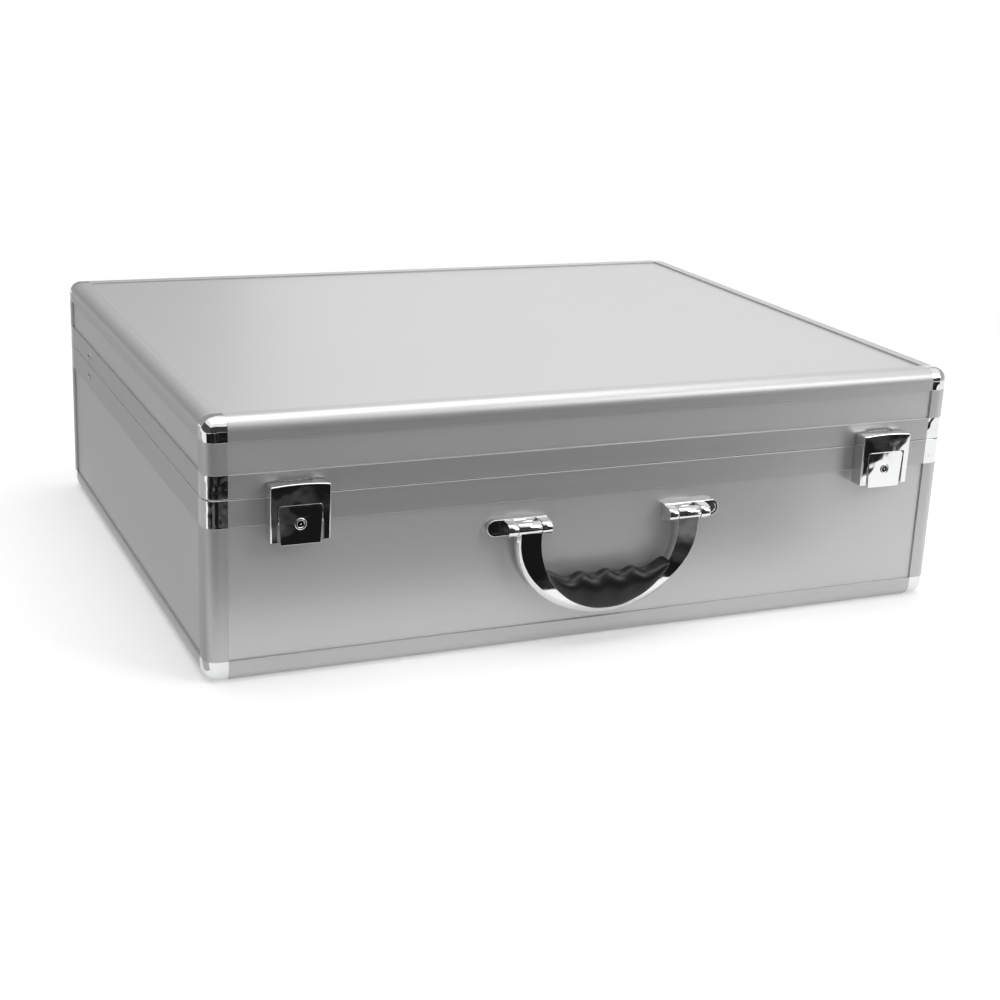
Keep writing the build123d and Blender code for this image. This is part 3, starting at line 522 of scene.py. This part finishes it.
# The key barrel's turned form: radius, and depth behind its front
BARREL_RADIUS = 0.0036
BARREL_TURNING = (
    (0.0, 0.0005), (0.0006, 0.00055), (0.0008, 0.0008), (0.0008, 0.0030), (0.0019, 0.0030),
    (0.0019, 0.0007), (0.0020, 0.0004), (0.0023, 0.00012), (0.0027, 0.0), (0.0031, 0.00008),
    (0.0034, 0.00025), (0.0036, 0.0005), (0.0036, 0.00079), (0.0030, 0.0008), (0.0030, 0.0075),
    (0.0, 0.0075),
)
KEYWAY_RADIUS = 0.00195
KEYWAY_TOP = 0.0006
KEYWAY_FLOOR = 0.0035
RING_BACK = 0.0009
CAM_HALF_WIDTH = 0.002
TURNING_STEPS = 48
CAM_STEPS = 16
AXIS_RADIUS = 0.00001


class TOOLCASE_OT_latches(bpy.types.Operator):
    """Chrome of the two draw latches and steel of what is behind them"""

    bl_idname = "toolcase.latches"
    bl_label = "Draw latches"

    def key_barrel(self, side, ring, keyway):
        """The barrel with its domed ring, round keyway and post, and the cam on its back end. The
        keyway's inside is painted shade.
        """
        low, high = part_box(f"{side}_latch_key_barrel")
        centre_x = (low[0] + high[0]) / 2
        centre_z = high[2] - BARREL_RADIUS
        rings = []
        for radius, depth in BARREL_TURNING:
            radius = max(radius, AXIS_RADIUS)
            turned = []
            for step in range(TURNING_STEPS):
                angle = 2.0 * math.pi * step / TURNING_STEPS
                x = centre_x + radius * math.cos(angle)
                z = centre_z + radius * math.sin(angle)
                turned.append(Vector((x, low[1] + depth, z)))
            rings.append(turned)
        points, faces = skin_rings(rings)
        cam = []
        fall = high[2] - low[2] - BARREL_RADIUS - CAM_HALF_WIDTH
        for start, middle in ((0.0, centre_z), (math.pi, centre_z - fall)):
            for step in range(CAM_STEPS + 1):
                angle = start + math.pi * step / CAM_STEPS
                across = centre_x + CAM_HALF_WIDTH * math.cos(angle)
                cam.append((across, middle + CAM_HALF_WIDTH * math.sin(angle)))
        barrel_back = low[1] + BARREL_TURNING[-1][1]
        cam_rings = [[Vector((x, y, z)) for x, z in cam] for y in (barrel_back, high[1])]
        cam_points, cam_faces = skin_rings(cam_rings)
        start = len(points)
        points += cam_points
        faces += [tuple(start + corner for corner in face) for face in cam_faces]
        piece = mesh_piece(f"{side}_key_barrel_with_cam", points, faces, ring, smooth=False)
        piece.data.materials.append(keyway)
        for polygon in piece.data.polygons:
            centre = polygon.center
            away = math.hypot(centre.x - centre_x, centre.z - centre_z)
            sunk = centre.y - low[1]
            # Faces deep inside the keyway take the second material, the near-black painted shade of the
            # hole.
            inside = away < KEYWAY_RADIUS and KEYWAY_TOP < sunk < KEYWAY_FLOOR
            polygon.material_index = 1 if inside else 0
            polygon.use_smooth = len(polygon.vertices) == 4 and sunk < RING_BACK and not inside
        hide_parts(f"{side}_latch_key_barrel")
        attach(piece, f"{side}_key_barrel")

    def execute(self, context):
        plating = chrome("latch_chrome", tuple(colours().plating), sizes().chrome_roughness)
        barrel = chrome("key_barrel_chrome", shade_of(tuple(colours().plating), 0.92), 0.08)
        # Painted shade: the keyway's inside gets a near-black metal that stands in for the shade deep in
        # the hole.
        keyway = hazed_metal("keyway_painted_shade", (0.02, 0.02, 0.021), 0.4)
        steel = hazed_metal("latch_steel", tuple(colours().steel), 0.26)
        softness = sizes().edge_softness
        for side in ("left", "right"):
            dress(f"{side}_latch_claw", plating)
            dress(f"{side}_latch_lever", plating)
            self.key_barrel(side, barrel, keyway)
            dress(f"{side}_latch_back_plate", steel)
            dress(f"{side}_latch_catch", steel)
            soften(f"{side}_latch_claw", softness)
            soften(f"{side}_latch_lever", softness * 0.6)
        dress("latch_pins", steel)
        return {"FINISHED"}


class TOOLCASE_OT_handle(bpy.types.Operator):
    """Chrome of the handle's bail and brackets, and steel of its pins and screws"""

    bl_idname = "toolcase.handle"
    bl_label = "Handle"

    def execute(self, context):
        plating = chrome("handle_chrome", tuple(colours().plating), sizes().chrome_roughness)
        steel = hazed_metal("screw_steel", tuple(colours().steel), 0.26)
        softness = sizes().edge_softness
        dress("handle_bail", plating)
        soften("handle_bail", softness)
        for side in ("left", "right"):
            dress(f"{side}_handle_bracket", plating)
            soften(f"{side}_handle_bracket", softness)
        dress("handle_pins", steel)
        dress("handle_screws", steel)
        return {"FINISHED"}


# The grip's place inside the bail, as in the solid model
BEND_HEIGHT = 0.0715
BEND_HALF_WIDTH = 0.0468
BEND_FALL = 0.046
GRIP_ENDS = 0.0416
FINGER_PITCH = 0.0175
VALLEY_HEIGHT = 0.0453
RIDGE_RISE = 0.0029
END_RISE = 0.0052
LAST_VALLEY = 1.5 * FINGER_PITCH
SEAT_HALF_WIDTH = 0.0034
TOP_STEPS = 32
# The grip's sides below its middle: share of its half depth, and share of the way down to the bail's
# edge or, below zero, of the lip that hangs over it
GRIP_SIDE = (
    (-0.985, 0.55), (-0.95, 0.15), (-0.88, -0.2), (-0.78, -0.5), (-0.66, -0.72), (-0.57, -0.6),
)


class TOOLCASE_OT_grip(bpy.types.Operator):
    """Finger grip of black rubber, scalloped on top and hanging over the bail"""

    bl_idname = "toolcase.grip"
    bl_label = "Finger grip"

    def top_height(self, x):
        """Height of the scalloped top at a place along the grip."""
        ridge = (1.0 + math.cos(2.0 * math.pi * x / FINGER_PITCH)) / 2.0
        height = VALLEY_HEIGHT + RIDGE_RISE * ridge**1.2
        if abs(x) > LAST_VALLEY:
            share = (abs(x) - LAST_VALLEY) / (GRIP_ENDS - LAST_VALLEY)
            height = VALLEY_HEIGHT + END_RISE * (1.0 - math.cos(math.pi * min(share, 1.0))) / 2.0
        return height

    def execute(self, context):
        low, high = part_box("handle_grip")
        middle_y = (low[1] + high[1]) / 2.0
        half_depth = (high[1] - low[1]) / 2.0
        lip = sizes().grip_lip
        count = sizes().grip_rings
        rings = []
        for i in range(count):
            turn = math.pi * i / (count - 1)
            x = -GRIP_ENDS * math.cos(turn)
            bottom = BEND_HEIGHT - BEND_FALL * math.sqrt(1.0 - (x / BEND_HALF_WIDTH) ** 2)
            top = self.top_height(x)
            end = min(1.0, math.sin(turn) * 3.2)
            bulge = 0.96 - 0.04 * math.cos(2.0 * math.pi * x / FINGER_PITCH)
            depth = half_depth * (0.52 + 0.48 * end**0.7) * (bulge if abs(x) < LAST_VALLEY else 1.0)
            depth = max(depth, SEAT_HALF_WIDTH + 0.0003)
            hang = lip * end
            middle = bottom + (top - bottom) * 0.45
            ring = []
            for step in range(TOP_STEPS + 1):
                angle = math.pi * step / TOP_STEPS
                across = math.copysign(abs(math.cos(angle)) ** 0.8, math.cos(angle))
                rise = abs(math.sin(angle)) ** 0.9
                ring.append(Vector((x, middle_y + depth * across, middle + (top - middle) * rise)))
            left_side = []
            for across, drop in GRIP_SIDE:
                if drop >= 0:
                    height = bottom + (middle - bottom) * drop
                else:
                    height = bottom + hang * drop
                left_side.append((across, height))
            for across, height in left_side:
                ring.append(Vector((x, middle_y + depth * across, height)))
            ring.append(Vector((x, middle_y - SEAT_HALF_WIDTH, bottom)))
            ring.append(Vector((x, middle_y + SEAT_HALF_WIDTH, bottom)))
            for across, height in reversed(left_side):
                ring.append(Vector((x, middle_y - depth * across, height)))
            rings.append(ring)
        material = black_rubber("grip_rubber", tuple(colours().grip))
        piece = mesh_piece("finger_grip", *skin_rings(rings), material)
        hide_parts("handle_grip")
        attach(piece, "handle")
        return {"FINISHED"}


# How far the linings stay inside their solids' boxes, and the corner of their outer walls
LINING_MARGIN = 0.0002
LINING_EDGE_MARGIN = 0.0003
LINING_CORNER = 0.006
LEAST_CORNER = 0.0012


class TOOLCASE_OT_linings(bpy.types.Operator):
    """Foam-backed cloth linings, glued into the base and the lid"""

    bl_idname = "toolcase.linings"
    bl_label = "Linings"

    def tray(self, name, node, closed_up):
        """A lining with swelling walls, a round fold and a smooth floor, from its solid's box."""
        low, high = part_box(node)
        centre = Vector(((low[0] + high[0]) / 2, (low[1] + high[1]) / 2))
        half_x = (high[0] - low[0]) / 2 - LINING_MARGIN
        half_y = (high[1] - low[1]) / 2 - LINING_MARGIN
        floor = high[2] - LINING_MARGIN if closed_up else low[2] + LINING_MARGIN
        edge = low[2] + LINING_EDGE_MARGIN if closed_up else high[2] - LINING_EDGE_MARGIN
        up = -1.0 if closed_up else 1.0
        depth = abs(edge - floor)
        thick = sizes().lining_thickness
        fold = sizes().lining_fold_radius
        swell = sizes().lining_swell
        profile = [(0.14, 0.0), (0.06, 0.0), (0.02, 0.0), (0.0008, 0.0), (0.0, 0.0008)]
        profile += [(0.0, depth * s) for s in (0.25, 0.5, 0.75)]
        profile += [(0.0, depth - thick * 0.5)]
        for step in range(1, 8):
            angle = math.pi * step / 8
            inset = thick * 0.5 * (1 - math.cos(angle))
            profile.append((inset, depth - thick * 0.5 * (1 - math.sin(angle))))
        wall_top = depth - thick * 0.5
        wall_bottom = thick + fold
        for step in range(1, 13):
            share = step / 12
            height = wall_top + (wall_bottom - wall_top) * share
            profile.append((thick + swell * math.sin(math.pi * share) ** 0.6, height))
        for step in range(1, 9):
            angle = 0.5 * math.pi * step / 8
            profile.append((thick + fold * (1 - math.cos(angle)), thick + fold * (1 - math.sin(angle))))
        for inset in (0.02, 0.035, 0.06, 0.1, 0.14):
            profile.append((inset, thick + swell * min(1.0, (inset - 0.012) / 0.02)))
        rings = []
        for inset, height in profile:
            if inset < LINING_CORNER:
                radius = max(LINING_CORNER - inset, LEAST_CORNER)
            else:
                radius = LEAST_CORNER + inset * 0.25
            outline = rounded_rectangle(centre, half_x - inset, half_y - inset, radius, 8, 24)
            rings.append([Vector((p.x, p.y, floor + up * height)) for p in outline])
        points, faces = skin_rings(rings)
        if closed_up:
            faces = [tuple(reversed(face)) for face in faces]
        piece = mesh_piece(name, points, faces, self.material)
        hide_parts(node)
        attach(piece, "lid" if closed_up else "base")

    def execute(self, context):
        self.material = lining_cloth("lining_cloth", tuple(colours().lining))
        self.tray("base_cloth_lining", "base_lining", False)
        self.tray("lid_cloth_lining", "lid_lining", True)
        return {"FINISHED"}


# Where the camera stood, from the case's edges in its picture
CAMERA_PLACE = Vector((-0.48207, -1.11011, 0.42265))
CAMERA_AZIMUTH = 24.235
CAMERA_ELEVATION = 18.023
CAMERA_ROLL = 2.609
CAMERA_LENS = 63.64

# The studio's light: the air, the floor's glow, and where the floor fades into the white background
AIR_LIGHT = 0.42
FLOOR_GLOW = 0.3
FADE_START = 0.45
FADE_END = 1.1

# The cards round the case lie just over the floor or stand on it as walls, and each has one brightness
CARD_HEIGHT = 0.004
WALL = 2.6
WALL_TOP = 2.3
BACK_SPLIT = 0.55


def lying_card(*corners):
    return [(x, y, CARD_HEIGHT) for x, y in corners]


def standing_card(start, end):
    return [(*start, 0), (*end, 0), (*end, WALL_TOP), (*start, WALL_TOP)]


CARDS = (
    ("front_dark_card", lying_card(
        (-1.6, -0.29), (-1.6, -2.2), (1.3, -2.2), (1.0, -0.9), (0.444, -0.518), (0.395, -0.484),
        (0.2, -0.29),
    ), 0.03),
    ("left_grey_card", lying_card((-0.62, -0.2), (-0.257, -0.2), (-0.257, 1.2), (-0.62, 1.2)), 0.48),
    ("front_wall", standing_card((-WALL, -WALL), (WALL, -WALL)), 0.05),
    ("left_wall", standing_card((-WALL, -WALL), (-WALL, WALL)), 0.08),
    ("right_wall", standing_card((WALL, -WALL), (WALL, WALL)), 0.5),
    ("back_wall_left", standing_card((-WALL, WALL), (BACK_SPLIT, WALL)), 0.35),
    ("back_wall_right", standing_card((BACK_SPLIT, WALL), (WALL, WALL)), 0.95),
)
PATCHY_CARD = "front_dark_card"


class TOOLCASE_OT_stage(bpy.types.Operator):
    """Pale floor, soft studio lamps, dark reflector cards and the camera"""

    bl_idname = "toolcase.stage"
    bl_label = "Studio"

    def seen_directly(self, tree):
        """1 for camera, mirror and glass rays, and 0 for the rest."""
        path = tree.nodes.new("ShaderNodeLightPath")
        total = None
        for name in ("Is Camera Ray", "Is Glossy Ray", "Is Transmission Ray"):
            if total is None:
                total = path.outputs[name]
                continue
            larger = tree.nodes.new("ShaderNodeMath")
            larger.operation = "MAXIMUM"
            tree.links.new(total, larger.inputs[0])
            tree.links.new(path.outputs[name], larger.inputs[1])
            total = larger.outputs[0]
        return total

    def sky(self, scene):
        world = bpy.data.worlds.new("studio_air")
        world.use_nodes = True
        scene.world = world
        tree = world.node_tree
        background = next(n for n in tree.nodes if n.type == "BACKGROUND")
        background.inputs["Color"].default_value = (1.0, 1.0, 1.0, 1.0)
        strength = tree.nodes.new("ShaderNodeMapRange")
        strength.inputs["To Min"].default_value = AIR_LIGHT
        strength.inputs["To Max"].default_value = 1.0
        tree.links.new(self.seen_directly(tree), strength.inputs["Value"])
        tree.links.new(strength.outputs["Result"], background.inputs["Strength"])

    def floor(self):
        points = [(-6, -6, 0), (6, -6, 0), (6, 9, 0), (-6, 9, 0)]
        finish = Finish("pale_floor")
        finish.set(Base_Color=(0.86, 0.86, 0.86, 1.0), Roughness=0.9, Specular_IOR_Level=0.1)
        finish.set(Emission_Color=(1.0, 1.0, 1.0, 1.0))
        glow = finish.node("ShaderNodeMapRange")
        glow.inputs["To Max"].default_value = FLOOR_GLOW
        direct = self.seen_directly(finish.tree)
        finish.join(direct, glow.inputs["Value"])
        finish.join(glow.outputs["Result"], finish.shader.inputs["Emission Strength"])
        distance = finish.node("ShaderNodeVectorMath", operation="LENGTH")
        finish.join(finish.coords, distance.inputs[0])
        far = finish.node("ShaderNodeMapRange", interpolation_type="SMOOTHSTEP")
        far.inputs["From Min"].default_value = FADE_START
        far.inputs["From Max"].default_value = FADE_END
        finish.join(distance.outputs["Value"], far.inputs["Value"])
        share = finish.node("ShaderNodeMath", operation="MULTIPLY")
        finish.join(far.outputs["Result"], share.inputs[0])
        finish.join(direct, share.inputs[1])
        white = finish.node("ShaderNodeEmission", Strength=1.0)
        blend = finish.node("ShaderNodeMixShader")
        finish.join(share.outputs[0], blend.inputs[0])
        finish.join(finish.shader.outputs[0], blend.inputs[1])
        finish.join(white.outputs[0], blend.inputs[2])
        surface = next(n for n in finish.tree.nodes if n.type == "OUTPUT_MATERIAL").inputs["Surface"]
        finish.join(blend.outputs[0], surface)
        floor = mesh_piece("studio_floor", points, [(0, 1, 2, 3)], finish.material, smooth=False)

    def card(self, name, points, grey):
        """A card that shows only in glossy finishes. The dark one in front has pale patches."""
        finish = Finish(name + "_finish")
        finish.set(Base_Color=(0.0, 0.0, 0.0, 1.0), Roughness=1.0, Specular_IOR_Level=0.0)
        finish.set(Emission_Color=(1.0, 1.0, 1.0, 1.0), Emission_Strength=grey)
        if name == PATCHY_CARD:
            patches = finish.noise(7.0, detail=3.0, rough=0.6)
            glow = finish.node("ShaderNodeMapRange")
            finish.join(patches, glow.inputs["Value"])
            glow.inputs["From Min"].default_value = 0.5
            glow.inputs["From Max"].default_value = 0.75
            glow.inputs["To Min"].default_value = 0.01
            glow.inputs["To Max"].default_value = 0.22
            finish.join(glow.outputs["Result"], finish.shader.inputs["Emission Strength"])
        card = mesh_piece(name, points, [tuple(range(len(points)))], finish.material, smooth=False)
        card.visible_camera = False
        card.visible_diffuse = False
        card.visible_shadow = False
        card.visible_transmission = False

    def lamp(self, name, place, aim, width, height, watts):
        light = bpy.data.lights.new(name, "AREA")
        light.shape = "RECTANGLE"
        light.size = width
        light.size_y = height
        light.energy = watts
        lamp = bpy.data.objects.new(name, light)
        lamp.location = place
        lamp.rotation_euler = (Vector(aim) - Vector(place)).to_track_quat("-Z", "Y").to_euler()
        bpy.context.scene.collection.objects.link(lamp)

    def camera(self, scene):
        azimuth = math.radians(CAMERA_AZIMUTH)
        elevation = math.radians(CAMERA_ELEVATION)
        roll = math.radians(CAMERA_ROLL)
        forward = Vector((
            math.sin(azimuth) * math.cos(elevation),
            math.cos(azimuth) * math.cos(elevation),
            -math.sin(elevation),
        ))
        level = Vector((math.cos(azimuth), -math.sin(azimuth), 0.0))
        upright = level.cross(forward)
        right = level * math.cos(roll) + upright * math.sin(roll)
        up = upright * math.cos(roll) - level * math.sin(roll)
        lens = bpy.data.cameras.new("product_camera")
        lens.sensor_width = 36.0
        lens.lens = CAMERA_LENS
        lens.clip_start = 0.05
        lens.clip_end = 50.0
        camera = bpy.data.objects.new("product_camera", lens)
        turn = Matrix((right, up, -forward)).transposed().to_4x4()
        camera.matrix_world = Matrix.Translation(CAMERA_PLACE) @ turn
        scene.collection.objects.link(camera)
        scene.camera = camera

    def execute(self, context):
        scene = bpy.context.scene
        scene.view_settings.view_transform = "Standard"
        self.sky(scene)
        self.floor()
        for name, points, grey in CARDS:
            self.card(name, points, grey)
        self.lamp("overhead_softbox", (0.0, 0.05, 1.7), (0, 0, 0.1), 1.8, 1.6, 19.0)
        self.lamp("right_front_softbox", (1.3, -1.5, 1.2), (0, 0, 0.08), 1.0, 1.0, 12.0)
        self.camera(scene)
        return {"FINISHED"}


STEPS = (
    TOOLCASE_OT_profiles,
    TOOLCASE_OT_rims,
    TOOLCASE_OT_panels,
    TOOLCASE_OT_corners,
    TOOLCASE_OT_hinges,
    TOOLCASE_OT_stays,
    TOOLCASE_OT_rivets,
    TOOLCASE_OT_latches,
    TOOLCASE_OT_handle,
    TOOLCASE_OT_grip,
    TOOLCASE_OT_linings,
    TOOLCASE_OT_stage,
)


class TOOLCASE_PT_sidebar(bpy.types.Panel):
    """The case's pieces, colours and sizes"""

    bl_idname = "TOOLCASE_PT_sidebar"
    bl_label = "Tool Case"
    bl_space_type = "VIEW_3D"
    bl_region_type = "UI"
    bl_category = CATEGORY

    def draw(self, context):
        layout = self.layout
        for group in (context.scene.tool_case_colours, context.scene.tool_case_sizes):
            for name in type(group).__annotations__:
                layout.prop(group, name)
        for step in STEPS:
            layout.operator(step.bl_idname)


CLASSES = (ToolCaseColours, ToolCaseSizes, *STEPS, TOOLCASE_PT_sidebar)


def register():
    for made in CLASSES:
        bpy.utils.register_class(made)
    bpy.types.Scene.tool_case_colours = PointerProperty(type=ToolCaseColours)
    bpy.types.Scene.tool_case_sizes = PointerProperty(type=ToolCaseSizes)


def unregister():
    del bpy.types.Scene.tool_case_sizes
    del bpy.types.Scene.tool_case_colours
    for made in reversed(CLASSES):
        bpy.utils.unregister_class(made)


def main():
    register()
    for step in STEPS:
        group, name = step.bl_idname.split(".")
        result = getattr(getattr(bpy.ops, group), name)()
        if result != {"FINISHED"}:
            raise RuntimeError(f"{step.bl_idname} did not finish")


if __name__ == "__main__":
    main()
